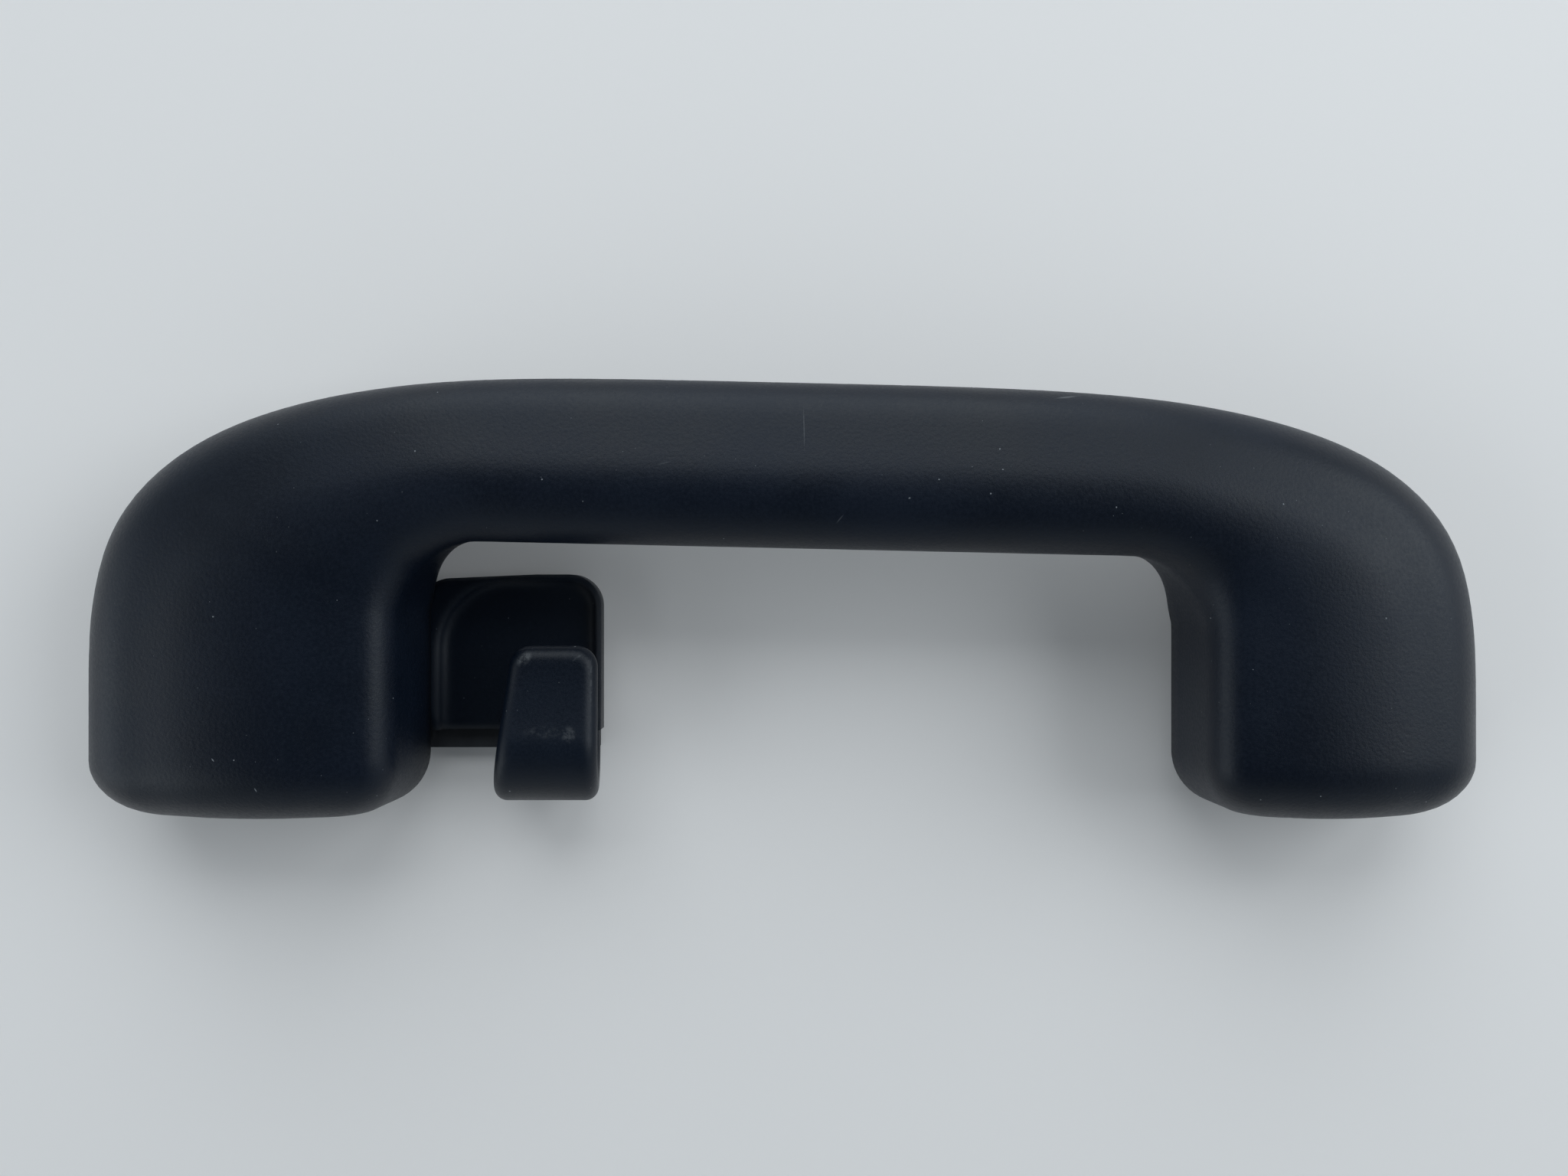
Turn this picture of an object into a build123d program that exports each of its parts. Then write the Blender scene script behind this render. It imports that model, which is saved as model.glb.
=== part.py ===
from build123d import *
import math
import os

# Roof grab handle: a folding U-shaped grip on two screwed bases, with a coat hook on the left base.
# X runs along the handle, Y points from the hinge to the hand bar, Z points out of the roof.
# The origin lies on the mounting plane, midway between the two screw holes.

# Plan of the grip
screw_spacing = 181.5
left_leg_width = 54.9
right_leg_width = 48.3
bar_width = 28.5
bar_reach = 19.9
bar_lean = 0.0222
inner_corner_radius = 12.5
left_shoulder_length = 105.0
left_shoulder_power = 3.15
right_shoulder_length = 117.0
right_shoulder_power = 3.7
shoulder_foot_drop = 7.0
leg_corner_radius = 9.5
leg_tail = 9.4

# Section of the grip, heights taken from the mounting plane
rim_height = 8.0
leg_inner_height = 28.4
leg_crown_height = 31.8
leg_outer_height = 26.0
leg_crown_share = 0.45
leg_draft = 1.2
leg_edge_roll = 4.0
leg_crown_roll = 15.0
leg_outer_roll = 10.0
bar_back_height = 13.5
bar_inner_height = 28.5
bar_crown_height = 33.0
bar_outer_height = 27.5
bar_crown_offset = 8.5
bar_back_tuck = 1.8
bar_inner_roll = 9.0
bar_crown_roll = 6.0
bar_outer_roll = 7.5
bar_back_roll = 6.0
wall = 2.8
pocket_angle = 24

# Hinge
hinge_drop = 14.5
hinge_height = 15.0
pin_diameter = 5.0
pin_clearance = 0.05
pin_chamfer = 0.4
hinge_gap = 19.0
ear_thickness = 4.0
ear_radius = 4.5
lug_thickness = 4.0
lug_radius = 5.4
side_play = 0.4

# Bases
flange_thickness = 3.0
base_width = 34.0
base_heel_drop = 6.5
base_length = 29.5
base_corner_radius = 4.0
cheek_shoulder = 5.0
cheek_foot_gap = 4.0
cross_wall = 2.2
rear_wall_y = 8.5
boss_diameter = 15.0
boss_height = 7.0
screw_hole_diameter = 6.6
sleeve_diameter = 10.0

# Screw caps
cap_seat_height = 13.0
cap_thickness = 1.8
cap_gap = 0.2
ledge_depth = 1.2
tongue_thickness = 1.2
tongue_length = 5.2
tongue_width = 6.0
barb_depth = 0.8
barb_height = 1.4

# Buffers
buffer_y = 17.0
buffer_diameter = 9.0
buffer_stem_diameter = 5.0
buffer_seat_height = 6.0
buffer_stem_length = 4.0
buffer_height = 6.0
stop_gap = 0.3
stop_width = 11.0

# Coat hook and the wing of the left base that carries it
hook_rim_gap = 0.4
hook_underlap = 2.4
hook_swing_cut = 4.5
hook_width = 31.9
hook_top_y = 16.4
hook_bottom_y = -11.1
hook_corner_radius = 5.6
hook_lean = 0.9
wing_lip = 3.6
wing_inset = 1.0
wing_underlap = 0.8
wing_neck_bottom_y = -4.0
dish_depth = 2.0
dish_left_border = 3.5
dish_right_border = 1.0
dish_top_border = 1.2
dish_left_radius = 12.0
dish_right_radius = 4.5
dish_lip_radius = 0.6
finger_width = 18.0
finger_tip_width = 14.2
finger_lean = 0.12
finger_length = 16.7
finger_toe_angle = 11
finger_bend_drop = 1.2
finger_bend_radius = 10.0
finger_thickness = 5.0
finger_tip_radius = 3.6
finger_edge_radius = 2.2
hook_screw_diameter = 2.8
hook_screw_head = 5.6
hook_screw_clearance = 0.2
hook_screw_recess = 0.3
hook_screw_inset = 3.2
hook_screw_reach = 3.0

# Return spring on the left pin
spring_wire = 1.4
spring_radius = 4.0
spring_turns = 6.25
spring_pitch = 1.75
spring_fixed_leg = 11.5
spring_moving_leg = 10.5
spring_hole_clearance = 0.1

# Rotary damper at the right hinge
damper_diameter = 12.0
damper_bore = 9.0
damper_length = 15.5
damper_end_wall = 2.0
damper_cap_length = 2.6
damper_tab_width = 6.0
damper_tab_height = 4.0
rotor_diameter = 5.0
rotor_gap = 0.15
rotor_flat = 1.0
vane_thickness = 1.6
ring_section = 1.8

left_x = -screw_spacing / 2
right_x = screw_spacing / 2
hinge_y = -hinge_drop
leg_end_y = hinge_y - leg_tail
heel_y = -base_heel_drop
base_top_y = heel_y + base_length
left_inner_x = left_x + left_leg_width / 2
left_outer_x = left_x - left_leg_width / 2
right_inner_x = right_x - right_leg_width / 2
right_outer_x = right_x + right_leg_width / 2
left_turn_x = left_inner_x + inner_corner_radius
right_turn_x = right_inner_x - inner_corner_radius
left_turn = Vector(left_turn_x, bar_reach - bar_lean * left_turn_x - inner_corner_radius)
right_turn = Vector(right_turn_x, bar_reach - bar_lean * right_turn_x - inner_corner_radius)
ear_inner = hinge_gap / 2
ear_outer = ear_inner + ear_thickness
lug_inner = ear_outer + side_play
lug_outer = lug_inner + lug_thickness
pin_radius = pin_diameter / 2
rotor_radius = rotor_diameter / 2
heel_wall_top = hinge_height + damper_tab_height
buffer_top = buffer_seat_height + buffer_height
hook_left_x = left_inner_x - hook_underlap
hook_right_x = hook_left_x + hook_width
hook_face_z = rim_height - hook_rim_gap
hook_plate_thickness = hook_face_z - flange_thickness
wing_bottom_y = hook_bottom_y - wing_lip
finger_right_x = hook_right_x - finger_lean * hook_face_z
finger_left_x = finger_right_x - finger_width
finger_bend_y = hook_bottom_y - finger_bend_drop
finger_bend_z = flange_thickness + finger_bend_radius
finger_tip_y = finger_bend_y + finger_length
spring_start_x = left_x - spring_turns * spring_pitch / 2
damper_start_x = right_x - ear_inner
damper_end_x = damper_start_x + damper_length


def mix(a, b, share):
    return a + (b - a) * share


def block(low, high):
    """Box between two corners."""
    size = Vector(high) - Vector(low)
    return Pos(Vector(low) + size / 2) * Box(size.X, size.Y, size.Z)


def peg(x, y, low, high, radius):
    """Upright round bar."""
    return extrude(Pos(x, y, low) * Circle(radius), high - low)


def along_x(sketch, from_x, to_x):
    """Extrude a Y-Z profile between two X positions."""
    return extrude(Plane.YZ.offset(min(from_x, to_x)) * sketch, abs(to_x - from_x))


def hinge_rod(radius, from_x, to_x):
    """Round bar on the hinge axis."""
    return along_x(Pos(hinge_y, hinge_height) * Circle(radius), from_x, to_x)


def bar_inner_y(x):
    return bar_reach - bar_lean * x


def inside_outline(point):
    """True inside the grip's outer edge: two superellipse shoulders that lean as the bar does."""
    height = bar_reach + bar_width + shoulder_foot_drop
    up = max(point.Y + bar_lean * point.X + shoulder_foot_drop, 0) / height
    from_left = (left_outer_x + left_shoulder_length - point.X) / left_shoulder_length
    from_right = (point.X - right_outer_x + right_shoulder_length) / right_shoulder_length
    left_sum = max(from_left, 0) ** left_shoulder_power + up**left_shoulder_power
    right_sum = max(from_right, 0) ** right_shoulder_power + up**right_shoulder_power
    return max(left_sum, right_sum) < 1


def reach_to_outline(start, direction):
    """Distance from a point inside the grip to its outer edge, found by halving."""
    near, far = 0.0, screw_spacing
    for _ in range(40):
        middle = (near + far) / 2
        if inside_outline(start + direction * middle):
            near = middle
        else:
            far = middle
    return near


def rounded_loop(start, direction, corners, rolls):
    """Closed loop through corners given as (across, up), each corner rolled over by a smooth curve."""
    places = [start + direction * across + Vector(0, 0, up) for across, up in corners]
    count = len(places)
    cuts = []
    for i, place in enumerate(places):
        back = places[i - 1] - place
        on = places[(i + 1) % count] - place
        roll = min(rolls[i], 0.46 * back.length, 0.46 * on.length)
        cuts.append((place + back.normalized() * roll, place + on.normalized() * roll))
    edges = []
    for i, place in enumerate(places):
        first, last = cuts[i]
        edges.append(Edge.make_bezier(first, mix(first, place, 0.56), mix(last, place, 0.56), last))
        edges.append(Edge.make_line(last, cuts[(i + 1) % count][0]))
    return Wire(edges)


def section(start, direction, width, bar_share, lowering, inset):
    """Section of the grip from its inner to its outer edge, between the leg's form and the bar's."""
    skirt = rim_height - leg_corner_radius / 2 - 2 * inset
    low = mix(skirt, bar_back_height, bar_share)
    tuck = mix(0, bar_back_tuck, bar_share) + inset
    draft = mix(leg_draft, 0, bar_share) + inset
    drop = lowering + inset
    crown_across = mix(leg_crown_share * width, bar_crown_offset, bar_share)
    corners = [
        (tuck, low),
        (draft, mix(leg_inner_height, bar_inner_height, bar_share) - drop),
        (crown_across, mix(leg_crown_height, bar_crown_height, bar_share) - drop),
        (width - draft, mix(leg_outer_height, bar_outer_height, bar_share) - drop),
        (width - tuck, low),
    ]
    rolls = [
        mix(leg_edge_roll, bar_back_roll, bar_share),
        mix(leg_edge_roll, bar_inner_roll, bar_share),
        mix(leg_crown_roll, bar_crown_roll, bar_share),
        mix(leg_outer_roll, bar_outer_roll, bar_share),
        mix(leg_edge_roll, bar_back_roll, bar_share),
    ]
    return rounded_loop(start, direction, corners, rolls)


def end_sections(inner_x, side, width, inset):
    """Sections of one leg's rounded end, closing over a quarter turn."""
    radius = leg_corner_radius - inset
    wires = []
    for angle in (90, 66, 43, 21, 6, 0):
        tilt = math.radians(angle)
        pull = radius * (1 - math.cos(tilt))
        y = leg_end_y + inset + radius * (1 - math.sin(tilt))
        start = Vector(inner_x + side * pull, y)
        wires.append(section(start, Vector(side, 0), width - 2 * pull, 0, pull, inset))
    return wires


def leg_sections(inner_x, side, turn, inset):
    """Sections of one leg's straight run, from its rounded end up to the inner corner."""
    foot_y = leg_end_y + leg_corner_radius
    direction = Vector(side, 0)
    wires = []
    for step in range(8):
        start = Vector(inner_x, mix(foot_y, turn.Y, step / 8))
        wires.append(section(start, direction, reach_to_outline(start, direction), 0, 0, inset))
    return wires


def turn_sections(turn, side, last_angle, inset):
    """Sections swinging round an inner corner, from the leg towards the bar."""
    steps = round(last_angle / 10)
    wires = []
    for step in range(steps + 1):
        angle = last_angle * step / steps
        tilt = math.radians(angle)
        direction = Vector(side * math.cos(tilt), math.sin(tilt))
        start = turn + direction * inner_corner_radius
        share = angle / 90
        bar_share = share * share * (3 - 2 * share)
        wires.append(section(start, direction, reach_to_outline(start, direction), bar_share, 0, inset))
    return wires


def bar_sections():
    """Sections of the hand bar, closer together towards the two corners."""
    direction = Vector(0, 1)
    wires = []
    for step in range(1, 12):
        x = mix(left_turn.X, right_turn.X, (1 - math.cos(math.pi * step / 12)) / 2)
        start = Vector(x, bar_inner_y(x))
        wires.append(section(start, direction, reach_to_outline(start, direction), 1, 0, 0))
    return wires


def grip_skin():
    """Outside of the grip as one smooth solid, with its legs running past their rims."""
    left = leg_sections(left_inner_x, -1, left_turn, 0) + turn_sections(left_turn, -1, 90, 0)
    right = leg_sections(right_inner_x, 1, right_turn, 0) + turn_sections(right_turn, 1, 90, 0)
    skin = Solid.make_loft(left + bar_sections() + right[::-1])
    skin += Solid.make_loft(end_sections(left_inner_x, -1, left_leg_width, 0))
    skin += Solid.make_loft(end_sections(right_inner_x, 1, right_leg_width, 0))
    return skin


def hinge_lug(x, side):
    """Rib of the grip that runs from the leg's face and end down to the hinge pin."""
    profile = make_face(
        Polyline(
            (leg_end_y, leg_crown_height),
            (leg_end_y, hinge_height + lug_radius),
            (hinge_y - lug_radius, hinge_height),
            (hinge_y + lug_radius, hinge_height),
            (hinge_y + 2 * lug_radius, leg_crown_height),
            close=True,
        )
    )
    profile += Pos(hinge_y, hinge_height) * Circle(lug_radius)
    return along_x(profile, x + side * lug_inner, x + side * lug_outer)


def stop_rib(x):
    """Rib of the grip that comes down on the rubber buffer."""
    half = stop_width / 2
    low = (x - half, buffer_y - cross_wall / 2, buffer_top + stop_gap)
    return block(low, (x + half, buffer_y + cross_wall / 2, leg_crown_height))


def leg_hollow(x, inner_x, side, width, turn):
    """Hollow of one leg: its sections drawn a wall smaller, with the lugs and the rib left standing."""
    run = leg_sections(inner_x, side, turn, wall) + turn_sections(turn, side, pocket_angle, wall)
    hollow = Solid.make_loft(run) + Solid.make_loft(end_sections(inner_x, side, width, wall))
    for rib in (hinge_lug(x, -1), hinge_lug(x, 1), stop_rib(x)):
        hollow -= rib
    return hollow


def grip_body():
    """One moulding: hand bar and two legs, hollow from behind, with lugs for the hinge."""
    far = 2 * screw_spacing
    body = grip_skin() - block((-far, -far, -far), (far, far, rim_height))
    body -= leg_hollow(left_x, left_inner_x, -1, left_leg_width, left_turn)
    body -= leg_hollow(right_x, right_inner_x, 1, right_leg_width, right_turn)
    body -= hinge_rod(pin_radius + pin_clearance, left_x - lug_outer, left_x + lug_outer)
    body -= hinge_rod(pin_radius + pin_clearance, right_x - lug_outer, right_x - lug_inner)
    return body - rotor_shaft(right_x + lug_inner)


def cheek_profile():
    """Side wall of a base: an ear round the pin, with a back that slopes down to the flange."""
    low = hinge_height - ear_radius
    high = hinge_height + ear_radius
    foot_y = base_top_y - cheek_foot_gap
    profile = make_face(
        Polyline(
            (heel_y, 0),
            (heel_y, low),
            (hinge_y, low),
            (hinge_y, high),
            (cheek_shoulder, high),
            (foot_y, flange_thickness),
            (foot_y, 0),
            close=True,
        )
    )
    return profile + Pos(hinge_y, hinge_height) * Circle(ear_radius)


def base_bracket(x):
    """Moulded base with a flange, two cheeks, a screw boss, a buffer seat and two cross walls."""
    outline = RectangleRounded(base_width, base_length, base_corner_radius)
    body = extrude(Pos(x, heel_y + base_length / 2) * outline, flange_thickness)
    for side in (-1, 1):
        body += along_x(cheek_profile(), x + side * ear_inner, x + side * ear_outer)
        near, far = sorted((x + side * ear_inner, x + side * (ear_inner - ledge_depth)))
        ledge_low = cap_seat_height - ledge_depth
        body += block((near, heel_y, ledge_low), (far, rear_wall_y, cap_seat_height))
    body += block((x - ear_inner, heel_y, 0), (x + ear_inner, heel_y + cross_wall, heel_wall_top))
    rear_high = (x + ear_inner, rear_wall_y + cross_wall, cap_seat_height)
    body += block((x - ear_inner, rear_wall_y, 0), rear_high)
    body += peg(x, 0, 0, boss_height, boss_diameter / 2)
    body += peg(x, buffer_y, 0, buffer_seat_height, buffer_diameter / 2)
    body -= peg(x, 0, 0, boss_height, sleeve_diameter / 2)
    body -= buffer_stem(x)
    return body - hinge_rod(pin_radius, x - ear_outer, x + ear_outer)


def hook_outline(left, right, top, bottom):
    """Outline with a leaning top and round upper corners, which the hook plate and its wing share."""
    face = make_face(
        Polyline(
            (left, bottom),
            (right, bottom),
            (right, top),
            (right - 2 * hook_corner_radius, top),
            (left, top - hook_lean),
            close=True,
        )
    )
    spots = ((right, top), (left, top - hook_lean))
    corners = [face.vertices().sort_by_distance(spot)[0] for spot in spots]
    return fillet(corners, hook_corner_radius)


def hook_screw_places():
    """Where the two hook screws go: the plate's upper left corner and the root of the finger."""
    corner_y = hook_top_y - wing_inset - hook_lean - hook_screw_inset
    corner = Vector(hook_left_x + hook_screw_inset, corner_y)
    root = Vector((finger_left_x + finger_right_x) / 2, finger_bend_y + hook_screw_inset)
    return corner, root


def countersunk(place, extra, low, high):
    """Round countersunk form at a place, wider than the hook screw by a given gap."""
    shank = hook_screw_diameter / 2 + extra
    head = hook_screw_head / 2 + extra
    profile = make_face(
        Polyline(
            (0, low),
            (head, low),
            (head, hook_screw_recess),
            (shank, hook_screw_recess + head - shank),
            (shank, high),
            (0, high),
            close=True,
        )
    )
    return Pos(place.X, place.Y) * revolve(Plane.XZ * profile, Axis.Z)


def hook_screw(place):
    """Small countersunk screw, driven from behind through the wing into the hook."""
    head_rim = hook_screw_recess / 3
    return countersunk(place, 0, head_rim, flange_thickness + hook_screw_reach)


def left_base():
    """Left base: its flange runs on as a wing, under the leg's inner wall and behind the hook."""
    body = base_bracket(left_x)
    wing_left = hook_left_x - wing_underlap
    wing_right = hook_right_x - wing_inset
    wing_top = hook_top_y - wing_inset
    neck_high = (hook_left_x, wing_top - hook_lean, flange_thickness)
    body += block((left_x + boss_diameter / 2, wing_neck_bottom_y, 0), neck_high)
    body += extrude(hook_outline(wing_left, wing_right, wing_top, wing_bottom_y), flange_thickness)
    for place in hook_screw_places():
        body -= countersunk(place, hook_screw_clearance, 0, flange_thickness)
    path = spring_path()
    hole = Circle(spring_wire / 2 + spring_hole_clearance)
    return body - extrude(Plane(path @ 0, z_dir=path % 0) * hole, spring_fixed_leg)


def right_base():
    """Right base, bored out in one ear for the damper's rotor."""
    bore = rotor_radius + pin_clearance
    return base_bracket(right_x) - hinge_rod(bore, right_x + ear_inner, right_x + ear_outer)


def screw_sleeve(x):
    """Steel sleeve that takes the screw's load through the plastic boss."""
    outer = peg(x, 0, 0, boss_height, sleeve_diameter / 2)
    return outer - peg(x, 0, 0, boss_height, screw_hole_diameter / 2)


def screw_cap(x):
    """Cover over the screw well, held by two barbed tongues under the ledges."""
    half = ear_inner - cap_gap
    front_y = heel_y + cross_wall + cap_gap
    plate_high = (x + half, rear_wall_y + cross_wall, cap_seat_height + cap_thickness)
    cap = block((x - half, front_y, cap_seat_height), plate_high)
    cap = fillet(cap.edges().group_by(Axis.Z)[-1], cap_thickness / 3)
    outer = ear_inner - ledge_depth - cap_gap / 2
    barb_top = cap_seat_height - ledge_depth - cap_gap / 2
    for side in (-1, 1):
        near, far = sorted((x + side * outer, x + side * (outer - tongue_thickness)))
        tongue_low = (near, -tongue_width / 2, cap_seat_height - tongue_length)
        cap += block(tongue_low, (far, tongue_width / 2, cap_seat_height))
        near, far = sorted((x + side * outer, x + side * (outer + barb_depth)))
        barb_low = (near, -tongue_width / 2, barb_top - barb_height)
        cap += block(barb_low, (far, tongue_width / 2, barb_top))
    return cap


def buffer_stem(x):
    low = buffer_seat_height - buffer_stem_length
    return peg(x, buffer_y, low, buffer_seat_height, buffer_stem_diameter / 2)


def buffer(x):
    """Rubber stop: a stem in the base and a domed head."""
    head = peg(x, buffer_y, buffer_seat_height, buffer_top, buffer_diameter / 2)
    head = fillet(head.edges().group_by(Axis.Z)[-1], buffer_diameter / 3)
    return head + buffer_stem(x)


def hook_plate():
    """Plate with a dished face that runs out at its lower edge."""
    left = hook_left_x + dish_left_border
    right = hook_right_x - dish_right_border
    top = hook_top_y - dish_top_border
    low = 2 * hook_bottom_y
    dish = make_face(Polyline((left, low), (right, low), (right, top), (left, top), close=True))
    dish = fillet(dish.vertices().sort_by_distance((left, top))[0], dish_left_radius)
    dish = fillet(dish.vertices().sort_by_distance((right, top))[0], dish_right_radius)
    cutter = extrude(Pos(0, 0, hook_face_z - dish_depth) * dish, 2 * dish_depth)
    floor_edges = cutter.edges().group_by(Axis.Z)[0].sort_by(Axis.Y)[1:]
    spare = Vector(hook_width, hook_width)
    slab_high = Vector(right, top, hook_face_z) + spare
    slab = block(Vector(left, low, flange_thickness) - spare, slab_high)
    slab -= fillet(floor_edges, 0.6 * dish_depth)
    lip = slab.edges().group_by(Axis.Z)[-1].sort_by_distance(((left + right) / 2, top, hook_face_z))
    slab = fillet(lip[:5], dish_lip_radius)
    outline = hook_outline(hook_left_x, hook_right_x, hook_top_y, hook_bottom_y)
    outline -= make_face(
        Polyline(
            (hook_left_x, hook_bottom_y),
            (left_inner_x, hook_bottom_y),
            (hook_left_x, hook_bottom_y + hook_swing_cut),
            close=True,
        )
    )
    return slab & extrude(Pos(0, 0, flange_thickness) * outline, hook_plate_thickness)


def finger_path():
    """Middle line of the finger, drawn in Y and Z: root, round bend and an arm that toes in."""
    middle = finger_bend_radius - finger_thickness / 2
    toe = math.radians(finger_toe_angle)
    arm_radius = finger_length / math.sin(toe) - middle
    root_z = finger_bend_z - middle
    root = Line((finger_bend_y + finger_thickness, root_z), (finger_bend_y, root_z))
    bend = CenterArc((finger_bend_y, finger_bend_z), middle, 270, -180 - finger_toe_angle)
    arm_centre = bend @ 1 + Vector(math.sin(toe), math.cos(toe)) * arm_radius
    return root + bend + CenterArc(arm_centre, arm_radius, 270 - finger_toe_angle, finger_toe_angle)


def hook_finger():
    """J-shaped finger: the band along its path, cut to a taper that leans away from the leg."""
    profile = trace(finger_path(), finger_thickness)
    finger = along_x(profile, finger_left_x - finger_width, finger_right_x + finger_width)
    bottom_y = finger_bend_y - finger_bend_radius
    slant = Polyline(
        (finger_left_x, bottom_y),
        (finger_right_x, bottom_y),
        (finger_right_x, finger_tip_y),
        (finger_right_x - finger_tip_width, finger_tip_y),
        close=True,
    )
    finger &= extrude(make_face(slant), 4 * finger_bend_radius, dir=(finger_lean, 0, 1))
    tip = finger.edges().group_by(Axis.Y)[-1].sort_by(Axis.X)
    finger = fillet([tip[0], tip[-1]], finger_tip_radius)
    rim = [edge for edge in finger.edges() if edge.center().Z > finger_bend_z - finger_thickness / 2]
    return fillet([edge for edge in rim if not runs_straight_across(edge)], finger_edge_radius)


def runs_straight_across(edge):
    """True for a straight edge that keeps the same Y."""
    run = edge.end_point() - edge.start_point()
    return edge.geom_type == GeomType.LINE and abs(run.Y) < 1e-6


def coat_hook():
    """Plate and finger in one moulding, with two pilot holes from behind."""
    body = hook_plate() + hook_finger()
    for place in hook_screw_places():
        body -= hook_screw(place)
    return body


def hinge_pin(from_x, to_x):
    pin = hinge_rod(pin_radius, from_x, to_x)
    return chamfer(pin.edges().filter_by(GeomType.CIRCLE), pin_chamfer)


def spring_path():
    """Line of the spring's wire: a straight leg, the turns round the left pin, and a second leg."""
    turns = []
    for turn in range(math.ceil(spring_turns)):
        height = min(1, spring_turns - turn) * spring_pitch
        place = Location((spring_start_x + turn * spring_pitch, hinge_y, hinge_height), (0, 90, 0))
        turns.append((place * Helix(spring_pitch, height, spring_radius, lefthand=True)).edge())
    start, end = turns[0] @ 0, turns[-1] @ 1
    first = Edge.make_line(start - (turns[0] % 0) * spring_fixed_leg, start)
    last = Edge.make_line(end, end + (turns[-1] % 1) * spring_moving_leg)
    return Wire([first, *turns, last])


def return_spring():
    """Torsion spring: its first leg is held in the heel wall, its second lifts the leg's end."""
    path = spring_path()
    wire = Plane(path @ 0, z_dir=path % 0) * Circle(spring_wire / 2)
    return sweep(wire, path, is_frenet=True)


def damper_housing():
    """Cup of the damper, seated on the inner ear and kept from turning by a tab on the heel wall."""
    cup = hinge_rod(damper_diameter / 2, damper_start_x, damper_end_x)
    half_width = damper_tab_width / 2
    half_height = damper_tab_height / 2
    tab_low = (right_x - half_width, hinge_y, hinge_height - half_height)
    cup += block(tab_low, (right_x + half_width, heel_y, hinge_height + half_height))
    return cup - hinge_rod(damper_bore / 2, damper_start_x + damper_end_wall, damper_end_x)


def ring_seat_radius():
    return rotor_radius + pin_clearance + ring_section


def damper_end_cap():
    """Lid of the damper, bored for the rotor and recessed for its seal."""
    lid = hinge_rod(damper_diameter / 2, damper_end_x, damper_end_x + damper_cap_length)
    lid -= hinge_rod(ring_seat_radius(), damper_end_x, damper_end_x + ring_section)
    bore = rotor_radius + pin_clearance
    return lid - hinge_rod(bore, damper_end_x, damper_end_x + damper_cap_length)


def damper_o_ring():
    ring = Torus(ring_seat_radius() - ring_section / 2, ring_section / 2)
    return Pos(damper_end_x + ring_section / 2, hinge_y, hinge_height) * Rot(0, 90, 0) * ring


def rotor_shaft(from_x):
    """Shaft of the rotor with a flat on its outer end, where the grip's lug drives it."""
    shaft = hinge_rod(rotor_radius, from_x, right_x + lug_outer)
    flat_low = (right_x + ear_outer + side_play / 2, hinge_y - rotor_diameter, hinge_height)
    flat_low = Vector(flat_low) + Vector(0, 0, rotor_radius - rotor_flat)
    flat_high = (right_x + lug_outer, hinge_y + rotor_diameter, hinge_height + rotor_diameter)
    return shaft - block(flat_low, flat_high)


def damper_rotor():
    """Rotor: a shaft with four vanes inside the damper's grease chamber."""
    start_x = damper_start_x + damper_end_wall + rotor_gap
    end_x = damper_end_x - rotor_gap
    vane_radius = damper_bore / 2 - rotor_gap
    cross = Rectangle(2 * vane_radius, vane_thickness) + Rectangle(vane_thickness, 2 * vane_radius)
    vanes = along_x(Pos(hinge_y, hinge_height) * (cross & Circle(vane_radius)), start_x, end_x)
    return rotor_shaft(start_x) + vanes


os.makedirs("parts", exist_ok=True)
pieces = {
    "grip_body": grip_body(),
    "left_base": left_base(),
    "right_base": right_base(),
    "coat_hook": coat_hook(),
    "hook_screws": Compound([hook_screw(place) for place in hook_screw_places()]),
    "left_screw_sleeve": screw_sleeve(left_x),
    "right_screw_sleeve": screw_sleeve(right_x),
    "left_screw_cap": screw_cap(left_x),
    "right_screw_cap": screw_cap(right_x),
    "left_buffer": buffer(left_x),
    "right_buffer": buffer(right_x),
    "left_hinge_pin": hinge_pin(left_x - lug_outer, left_x + lug_outer),
    "right_hinge_pin": hinge_pin(right_x - lug_outer, right_x - ear_inner),
    "return_spring": return_spring(),
    "damper_housing": damper_housing(),
    "damper_end_cap": damper_end_cap(),
    "damper_o_ring": damper_o_ring(),
    "damper_rotor": damper_rotor(),
}
for name, piece in pieces.items():
    export_step(piece, f"parts/{name}.step")
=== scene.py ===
import math

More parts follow.
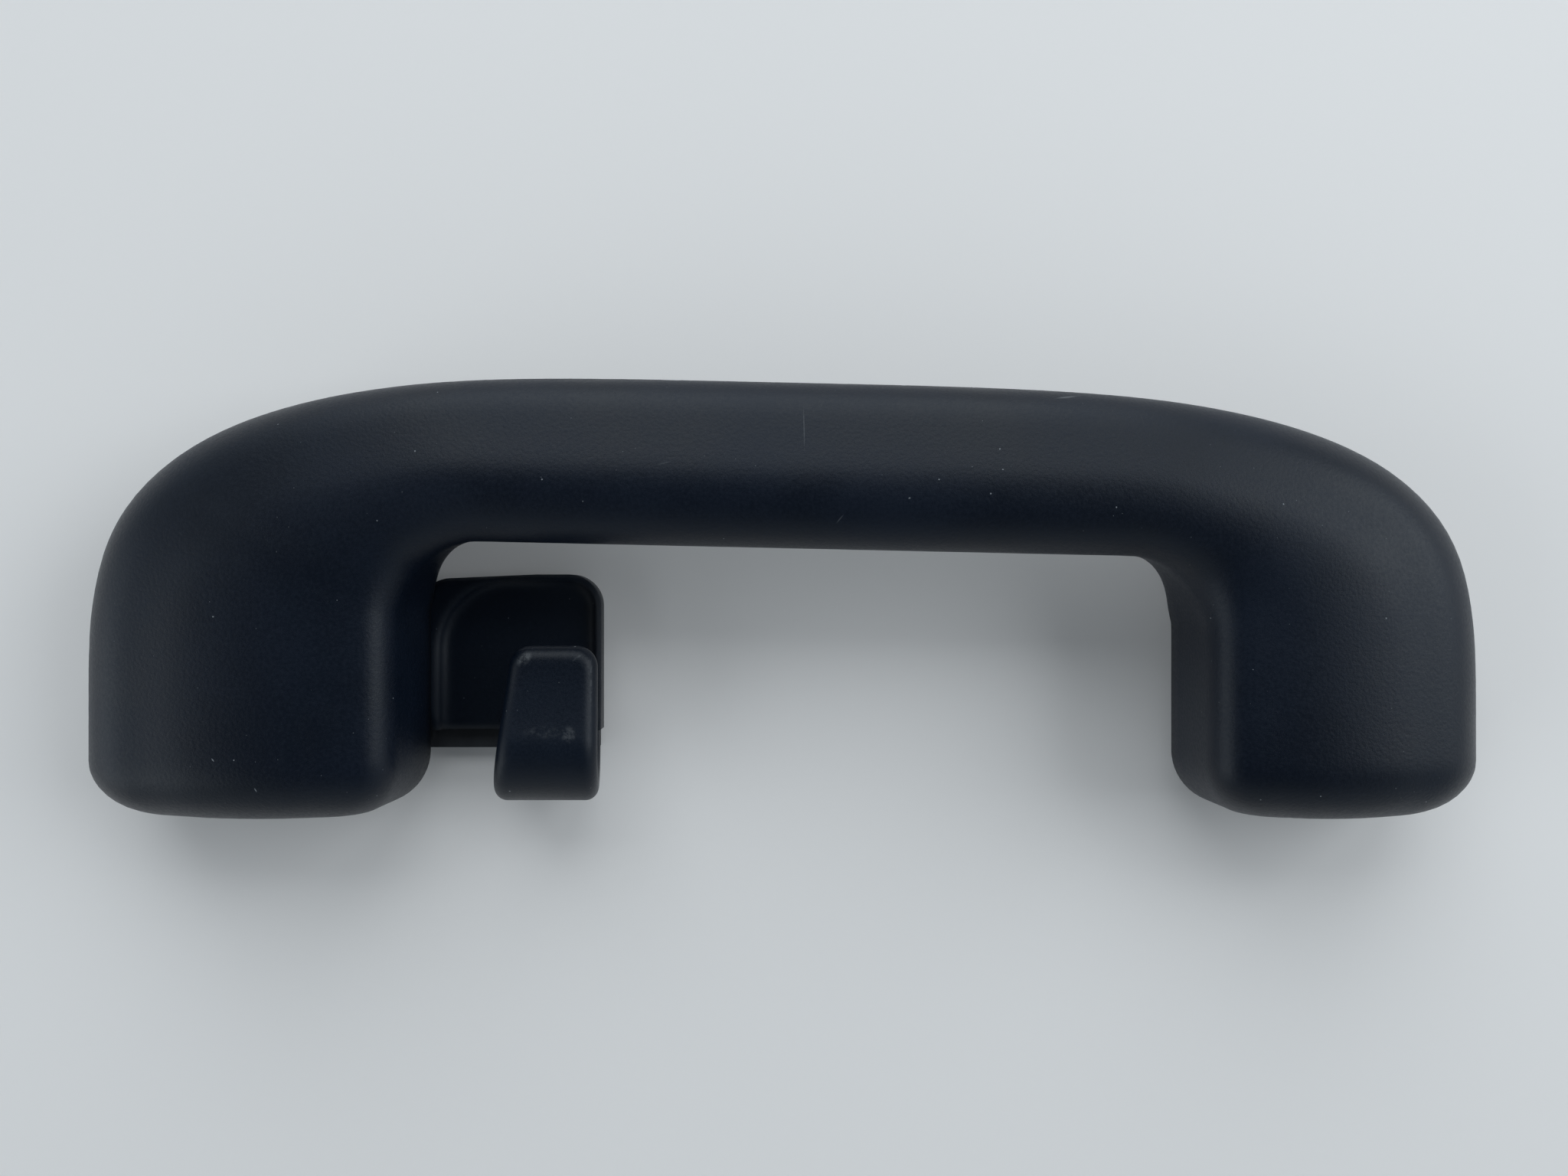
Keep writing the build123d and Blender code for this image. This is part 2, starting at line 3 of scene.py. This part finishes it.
import bmesh
import bpy
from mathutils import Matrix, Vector


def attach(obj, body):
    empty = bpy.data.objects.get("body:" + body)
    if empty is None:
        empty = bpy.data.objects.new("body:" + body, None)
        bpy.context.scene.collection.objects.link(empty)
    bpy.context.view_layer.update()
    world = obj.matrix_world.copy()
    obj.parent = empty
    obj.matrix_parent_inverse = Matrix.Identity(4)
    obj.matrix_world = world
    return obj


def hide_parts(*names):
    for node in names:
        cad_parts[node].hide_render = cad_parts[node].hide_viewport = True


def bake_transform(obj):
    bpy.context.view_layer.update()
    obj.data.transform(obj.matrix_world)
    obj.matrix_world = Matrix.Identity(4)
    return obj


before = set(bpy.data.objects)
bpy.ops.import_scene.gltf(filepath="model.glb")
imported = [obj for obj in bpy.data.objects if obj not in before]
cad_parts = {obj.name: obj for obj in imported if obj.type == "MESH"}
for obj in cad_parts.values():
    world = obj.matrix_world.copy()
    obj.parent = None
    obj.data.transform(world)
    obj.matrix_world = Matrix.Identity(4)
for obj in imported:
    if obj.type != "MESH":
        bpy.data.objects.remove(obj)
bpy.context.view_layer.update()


# Bases: two brackets of dark grey glass-filled nylon, moulded in one shot with their cheeks and
# screw bosses. They are screwed to the roof, and the left one has a wing that carries the coat hook.
class Wire:
    """One socket of a node tree. Sums and products of wires add the Math nodes that they need."""

    def __init__(self, tree, socket):
        self.tree = tree
        self.socket = socket

    def make(self, kind, sockets, output=0, **settings):
        """Adds a node, sets it up, fills or joins its sockets and gives one of its outputs."""
        node = self.tree.nodes.new("ShaderNode" + kind)
        for name, value in settings.items():
            setattr(node, name, value)
        for name, value in sockets.items():
            if isinstance(value, Wire):
                self.tree.links.new(value.socket, node.inputs[name])
            else:
                node.inputs[name].default_value = value
        return Wire(self.tree, node.outputs[output])

    def math(self, operation, *terms):
        return self.make("Math", dict(enumerate(terms)), operation=operation)

    def __add__(self, other):
        return self.math("ADD", self, other)

    def __mul__(self, other):
        return self.math("MULTIPLY", self, other)

    __radd__ = __add__
    __rmul__ = __mul__

    def ramp(self, low, high, to_low=0.0, to_high=1.0):
        """Smooth step of this wire from one pair of values to another."""
        ends = {
            "Value": self,
            "From Min": low,
            "From Max": high,
            "To Min": to_low,
            "To Max": to_high,
        }
        return self.make("MapRange", ends, interpolation_type="SMOOTHSTEP")

    def tint(self, low, high):
        """Colour that goes from one to the other as this wire goes from 0 to 1."""
        return self.make("Mix", {0: self, 6: low, 7: high}, output=2, data_type="RGBA")

    def noise(self, size, detail=2.0, roughness=0.5):
        """Noise of a given grain size in metres, read at this wire's place."""
        sockets = {"Vector": self, "Scale": 1 / size, "Detail": detail, "Roughness": roughness}
        return self.make("TexNoise", sockets)

    def stretched(self, x, y, z):
        """This place with its axes scaled, which draws a texture out into lines."""
        return self.make("Mapping", {"Vector": self, "Scale": (x, y, z)})

    def feed(self, shader, name):
        self.tree.links.new(self.socket, shader.inputs[name])


def new_finish(name):
    """Starts a material, and gives it with its Object coordinates and its shader."""
    material = bpy.data.materials.new(name)
    material.use_nodes = True
    tree = material.node_tree
    place = Wire(tree, tree.nodes.new("ShaderNodeTexCoord").outputs["Object"])
    return material, place, tree.nodes["Principled BSDF"]


def shade(colour, share=1.0):
    """Colour with its alpha, made lighter or darker by a share."""
    return (*(share * part for part in colour), 1)


def emboss(height, shader, depth, softened=0.0):
    """Relief of a given depth in metres, on turns that are softened over a given width."""
    sockets = {"Height": height, "Strength": 0.5, "Distance": depth}
    if softened:
        sockets["Normal"] = height.make("Bevel", {"Radius": softened}, samples=8)
    height.make("Bump", sockets).feed(shader, "Normal")


def dress(material, *names):
    """Gives CAD nodes a finish."""
    for name in names:
        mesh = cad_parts[name].data
        mesh.materials.clear()
        mesh.materials.append(material)


mm = 0.001
nylon_grey = (0.018, 0.019, 0.022)
nylon, place, shader = new_finish("glass_filled_nylon")
fibres = place.stretched(1, 0.25, 1).noise(0.7 * mm, 4, 0.65)
flow = place.noise(14 * mm, 3)
marbled = (0.6 * flow + 0.4 * fibres).ramp(0.3, 0.7)
marbled.tint(shade(nylon_grey, 0.75), shade(nylon_grey, 1.5)).feed(shader, "Base Color")
fibres.ramp(0.35, 0.7, 0.42, 0.62).feed(shader, "Roughness")
emboss(fibres, shader, 0.02 * mm)
dress(nylon, "left_base", "right_base")

# Screw sleeves and hook screws: turned and cold-headed steel with a clear zinc plating. The sleeves
# are pressed into the bosses, and the two small screws hold the hook on the wing from behind.
zinc_blue = (0.50, 0.53, 0.58)
zinc_yellow = (0.58, 0.56, 0.47)
zinc, place, shader = new_finish("zinc_plating")
shader.inputs["Metallic"].default_value = 1
spangle = place.noise(1.2 * mm, 3, 0.6)
turning = place.stretched(0.02, 0.02, 1).noise(0.08 * mm, 2)
spangle.ramp(0.35, 0.65).tint(shade(zinc_blue), shade(zinc_yellow)).feed(shader, "Base Color")
(0.5 * spangle + 0.5 * turning).ramp(0.3, 0.7, 0.26, 0.46).feed(shader, "Roughness")
emboss(turning, shader, 0.006 * mm)
dress(zinc, "left_screw_sleeve", "right_screw_sleeve", "hook_screws")

# Buffers and seal: black rubber. Each buffer's stem is pressed into its base, where the closed grip
# comes down on the head, and the ring seals the damper's shaft.
rubber_black = (0.010, 0.010, 0.011)
rubber, place, shader = new_finish("rubber")
bloom = place.noise(2.5 * mm, 4, 0.6)
pores = place.noise(0.15 * mm)
bloomed = bloom.ramp(0.4, 0.75)
bloomed.tint(shade(rubber_black), shade(rubber_black, 2.6)).feed(shader, "Base Color")
bloom.ramp(0.3, 0.7, 0.62, 0.82).feed(shader, "Roughness")
emboss(pores, shader, 0.015 * mm)
dress(rubber, "left_buffer", "right_buffer", "damper_o_ring")


# Coat hook: a black moulding with a fine matt grain, plate and finger in one. Coats have polished it
# and left pale rubbed spots at the tip, and some dust lies on it. The pale spots on the bend and the
# thin pale line down the finger's right edge are painted highlight.
def moulded(name, colour, dull, grain_size, grain_depth, softened):
    """Finish of a black moulding: etched grain from the tool, with a faint mottle from its flow."""
    material, place, shader = new_finish(name)
    shader.inputs["Specular IOR Level"].default_value = 0.27
    grain = place.noise(grain_size, 2, 0.55)
    flow = place.noise(22 * mm, 3)
    emboss(grain, shader, grain_depth, softened)
    polish = (0.5 * grain + 0.5 * flow).ramp(0.3, 0.7, dull - 0.05, dull + 0.07)
    polish.feed(shader, "Roughness")
    mottle = (0.35 * grain + 0.65 * flow).ramp(0.3, 0.7)
    return material, place, shader, mottle.tint(shade(colour, 0.8), shade(colour, 1.25))


def streak(place, x, y, length, width, turn):
    """Mask of one streak on the front face, sizes in millimetres and its turn in degrees."""
    sockets = {
        "Vector": place,
        "Location": (x * mm, y * mm, 0),
        "Rotation": (0, 0, math.radians(turn)),
        "Scale": (length * mm / 2, width * mm / 2, 1),
    }
    oval = place.make("Mapping", sockets, vector_type="TEXTURE")
    return oval.make("VectorMath", {0: oval}, output=1, operation="LENGTH").ramp(1.0, 0.3)


def specks(place, spacing, radius):
    """Mask of scattered dust grains, with their usual distance and their radius in metres."""
    cells = place.make("TexVoronoi", {"Vector": place, "Scale": 1 / spacing})
    return cells.ramp(radius / spacing, 0.5 * radius / spacing)


def facing_front(place, height, fade=0.5 * mm):
    """Mask of what lies above a given height, so that marks stay off the back."""
    z = place.make("SeparateXYZ", {0: place}, output=2)
    return z.ramp(height - fade, height + fade)


dust_white = (0.42, 0.44, 0.46)
# Pale grey of rubbed wear and scratches, also used for the painted highlight on the hook.
rubbed_and_highlight_grey = (0.075, 0.080, 0.086)
# The strong blue in this black is a painted reflection of the bluish room light.
hook_black_with_painted_blue = (0.0014, 0.0042, 0.0100)
hook_plastic, place, shader, ground = moulded(
    "hook_plastic",
    hook_black_with_painted_blue,
    dull=0.40,
    grain_size=0.45 * mm,
    grain_depth=0.045 * mm,
    softened=2.6 * mm,
)
# Pale marks on the front: the first and fourth are rubbed wear at the tip; the second and third, on
# the bend, and the last, down the right edge, are painted highlight.
hook_rubs_and_highlights = (
    (1.00, -44.2, 2.3, 3.6, 2.2, 40),
    (0.55, -36.6, -10.0, 3.0, 3.4, 0),
    (0.30, -40.5, -9.6, 9.0, 2.6, 0),
    (0.45, -35.3, 2.6, 2.6, 0.5, 35),
    (0.35, -33.2, -2.0, 12.0, 0.5, 90),
)
cloud = place.noise(1.1 * mm, 3, 0.7).ramp(0.38, 0.68)
rubs_and_highlights = sum(strength * streak(place, *rub) for strength, *rub in hook_rubs_and_highlights)
# This puts both the rubbed wear and the painted highlight into the hook's colour.
rubbed_and_highlit = (rubs_and_highlights * cloud * facing_front(place, 15 * mm)).tint(ground, shade(rubbed_and_highlight_grey))
dust = 0.6 * specks(place, 2.2 * mm, 0.10 * mm) + specks(place, 4.0 * mm, 0.17 * mm)
(0.5 * dust).tint(rubbed_and_highlit, shade(dust_white)).feed(shader, "Base Color")
dress(hook_plastic, "coat_hook")

# Hinge pins: ground steel rods with a light tarnish. They are pressed into the ears of the bases, and
# the grip's lugs turn on them.
pin_grey = (0.46, 0.47, 0.49)
ground_steel, place, shader = new_finish("ground_steel")
shader.inputs["Metallic"].default_value = 1
grinding = place.stretched(1, 0.03, 0.03).noise(0.05 * mm, 3)
tarnish = place.noise(3 * mm, 3)
tarnish.ramp(0.35, 0.7).tint(shade(pin_grey), shade(pin_grey, 0.7)).feed(shader, "Base Color")
(0.5 * grinding + 0.5 * tarnish).ramp(0.3, 0.7, 0.16, 0.34).feed(shader, "Roughness")
emboss(grinding, shader, 0.004 * mm)
dress(ground_steel, "left_hinge_pin", "right_hinge_pin")


# Return spring: drawn spring wire, coiled cold round the left pin and lightly oiled. One leg is held
# in the base, and the other pushes the grip shut, so the coil winds up as the grip swings out.
def finished(name, shape, material):
    """Turns a bmesh into an object at the origin, with its finish."""
    mesh = bpy.data.meshes.new(name)
    shape.to_mesh(mesh)
    shape.free()
    mesh.materials.append(material)
    piece = bpy.data.objects.new(name, mesh)
    bpy.context.collection.objects.link(piece)
    return piece


wire_grey = (0.30, 0.31, 0.33)
oil_brown = (0.16, 0.13, 0.10)
spring_wire, place, shader = new_finish("spring_wire")
shader.inputs["Metallic"].default_value = 1
drawing = place.stretched(1, 0.2, 0.2).noise(0.12 * mm, 3, 0.6)
oil = place.noise(1.8 * mm, 4, 0.6)
oil.ramp(0.45, 0.7).tint(shade(wire_grey), shade(oil_brown)).feed(shader, "Base Color")
(0.6 * drawing + 0.4 * oil).ramp(0.3, 0.7, 0.24, 0.42).feed(shader, "Roughness")
emboss(drawing, shader, 0.006 * mm)

sharp_turn = math.radians(40)
coil_shape = bmesh.new()
coil_shape.from_mesh(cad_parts["return_spring"].data)
bmesh.ops.remove_doubles(coil_shape, verts=coil_shape.verts, dist=0.001 * mm)
for face in coil_shape.faces:
    face.smooth = True
for edge in coil_shape.edges:
    edge.smooth = edge.calc_face_angle(0) < sharp_turn
coil = finished("wound_spring", coil_shape, spring_wire)
coil.data.attributes.remove(coil.data.attributes["custom_normal"])
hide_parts("return_spring")
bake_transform(coil)

# Rotary damper: a grey acetal cup and lid, and a rotor of natural white acetal that turns in grease.
# It clips over the right base's ear and slows the grip as it folds back.
acetal_grey = (0.050, 0.053, 0.058)
acetal, place, shader = new_finish("grey_acetal")
swirl = place.noise(6 * mm, 3, 0.6)
skin = place.noise(0.4 * mm)
swirled = swirl.ramp(0.35, 0.65)
swirled.tint(shade(acetal_grey, 0.85), shade(acetal_grey, 1.2)).feed(shader, "Base Color")
swirl.ramp(0.3, 0.7, 0.28, 0.40).feed(shader, "Roughness")
emboss(skin, shader, 0.008 * mm)
dress(acetal, "damper_housing", "damper_end_cap")

acetal_white = (0.70, 0.68, 0.62)
grease_amber = (0.55, 0.47, 0.32)
white_acetal, place, shader = new_finish("white_acetal")
grease = place.noise(1.5 * mm, 4, 0.6)
grease.ramp(0.5, 0.72).tint(shade(acetal_white), shade(grease_amber)).feed(shader, "Base Color")
grease.ramp(0.45, 0.7, 0.40, 0.18).feed(shader, "Roughness")
emboss(grease, shader, 0.03 * mm)
dress(white_acetal, "damper_rotor")

# Grip: one hollow black moulding with a soft-touch face, hung on the two pins. Hands have left a fine
# scratch across the bar and a scuff on its edge, and dust sits in the crease of the left leg.
# The strong blue in this black is a painted reflection of the bluish room light.
grip_black_with_painted_blue = (0.0014, 0.0042, 0.0105)
soft_touch, place, shader, ground = moulded(
    "soft_touch",
    grip_black_with_painted_blue,
    dull=0.42,
    grain_size=0.55 * mm,
    grain_depth=0.075 * mm,
    softened=5.0 * mm,
)
grip_scratches = (
    (0.55, 1.8, 39.2, 8.5, 0.22, 91),
    (0.80, 44.0, 44.6, 4.5, 0.45, 8),
    (0.50, 7.4, 24.8, 2.2, 0.25, 50),
    (0.30, -20.0, 33.5, 3.0, 0.25, 15),
)
dust_grains = (
    (18.2, 28.0, 0.45, 0.28, 20),
    (22.8, 30.9, 0.40, 0.28, 0),
    (32.5, 35.8, 0.40, 0.26, 70),
    (32.8, 32.5, 0.36, 0.26, 0),
    (-62.6, 5.4, 0.60, 0.30, 80),
    (-62.4, 2.6, 0.50, 0.30, 20),
    (-62.5, 0.6, 0.70, 0.30, 95),
    (-91.0, -13.0, 0.80, 0.26, 130),
    (-84.5, -17.8, 0.90, 0.26, 110),
)
front = facing_front(place, 18 * mm)
scratches = sum(strength * streak(place, *scratch) for strength, *scratch in grip_scratches)
scored = (scratches * front).tint(ground, shade(rubbed_and_highlight_grey))
grains = sum(streak(place, *grain) for grain in dust_grains)
scattered = 0.5 * specks(place, 2.4 * mm, 0.09 * mm) + specks(place, 5.0 * mm, 0.16 * mm)
dust = scattered + grains * front
(0.4 * dust).tint(scored, shade(dust_white)).feed(shader, "Base Color")
dress(soft_touch, "grip_body")

# Skirt web: a short wall of the same moulding, set in the skirt at the left leg's shoulder. It closes
# the narrow gap that the hollow of the leg leaves there.
web_foot = ((-106.50, 33.00), (-104.30, 34.69), (-103.34, 33.41), (-105.54, 31.72))
web_low, web_height = 8.05, 9.15
web_draft = (0.15, -0.20)
web_shape = bmesh.new()
corners = [web_shape.verts.new((x * mm, y * mm, web_low * mm)) for x, y in web_foot]
raised = bmesh.ops.extrude_face_region(web_shape, geom=[web_shape.faces.new(corners)])["geom"]
tops = [part for part in raised if isinstance(part, bmesh.types.BMVert)]
bmesh.ops.translate(web_shape, verts=tops, vec=Vector((*web_draft, web_height)) * mm)
bmesh.ops.recalc_face_normals(web_shape, faces=web_shape.faces)
web = finished("skirt_web", web_shape, soft_touch)
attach(web, "grip")

# Screw caps: small black covers, moulded with the same grain as the grip. Each snaps over its screw
# well with two barbed tongues.
cap_black = (0.0080, 0.0085, 0.0100)
cap_plastic, place, shader, ground = moulded(
    "cap_plastic",
    cap_black,
    dull=0.46,
    grain_size=0.30 * mm,
    grain_depth=0.020 * mm,
    softened=0.3 * mm,
)
ground.feed(shader, "Base Color")
dress(cap_plastic, "left_screw_cap", "right_screw_cap")

# Table: a plain pale top with a dull face. The handle lies on it on the flanges of its bases, as it
# would on a bench.
table_grey = (0.86, 0.82, 0.79)
table_reach = 3.0
table_top, place, shader = new_finish("table_top")
shader.inputs["Base Color"].default_value = shade(table_grey)
shader.inputs["Roughness"].default_value = 0.75
shader.inputs["Specular IOR Level"].default_value = 0.2
table_shape = bmesh.new()
bmesh.ops.create_grid(table_shape, x_segments=1, y_segments=1, size=table_reach)
table = finished("table", table_shape, table_top)

# Light and camera: a soft window beyond the hand bar, a softer one on the right and a fill on the
# left, in a room that is darker overhead. The camera looks straight down on the handle.
lamps = {
    "window": ((-0.05, 1.15, 0.75), 1.4, 14.0),
    "side": ((1.00, 0.32, 0.75), 0.9, 7.5),
    "fill": ((-1.10, -0.30, 0.50), 1.0, 3.8),
}
daylight = (0.86, 0.94, 1.0)
aim = Vector((0.0, 0.014, 0.0))
for name, (spot, size, watts) in lamps.items():
    lamp = bpy.data.lights.new(name, "AREA")
    lamp.size = size
    lamp.energy = watts
    lamp.color = daylight
    holder = bpy.data.objects.new(name, lamp)
    holder.location = spot
    holder.rotation_mode = "QUATERNION"
    holder.rotation_quaternion = (aim - Vector(spot)).to_track_quat("-Z", "Y")
    bpy.context.collection.objects.link(holder)

sky_blue = (0.78, 0.90, 1.0)
room = bpy.data.worlds.new("room")
room.use_nodes = True
room_tree = room.node_tree
backdrop = room_tree.nodes["Background"]
backdrop.inputs["Color"].default_value = shade(sky_blue)
towards = Wire(room_tree, room_tree.nodes.new("ShaderNodeTexCoord").outputs["Generated"])
upward = towards.make("SeparateXYZ", {0: towards}, output=2)
seen = upward.make("LightPath", {}, output="Is Camera Ray")
(upward.ramp(0.25, 0.90, 0.58, 0.07) + 0.2 * seen).feed(backdrop, "Strength")
bpy.context.scene.world = room
bpy.context.scene.view_settings.view_transform = "Standard"

camera = bpy.data.objects.new("camera", bpy.data.cameras.new("camera"))
camera.location = (-0.00135, 0.014, 0.2156)
camera.data.sensor_width = 36
camera.data.lens = 27.07
camera.data.clip_start = 0.01
bpy.context.collection.objects.link(camera)
bpy.context.scene.camera = camera
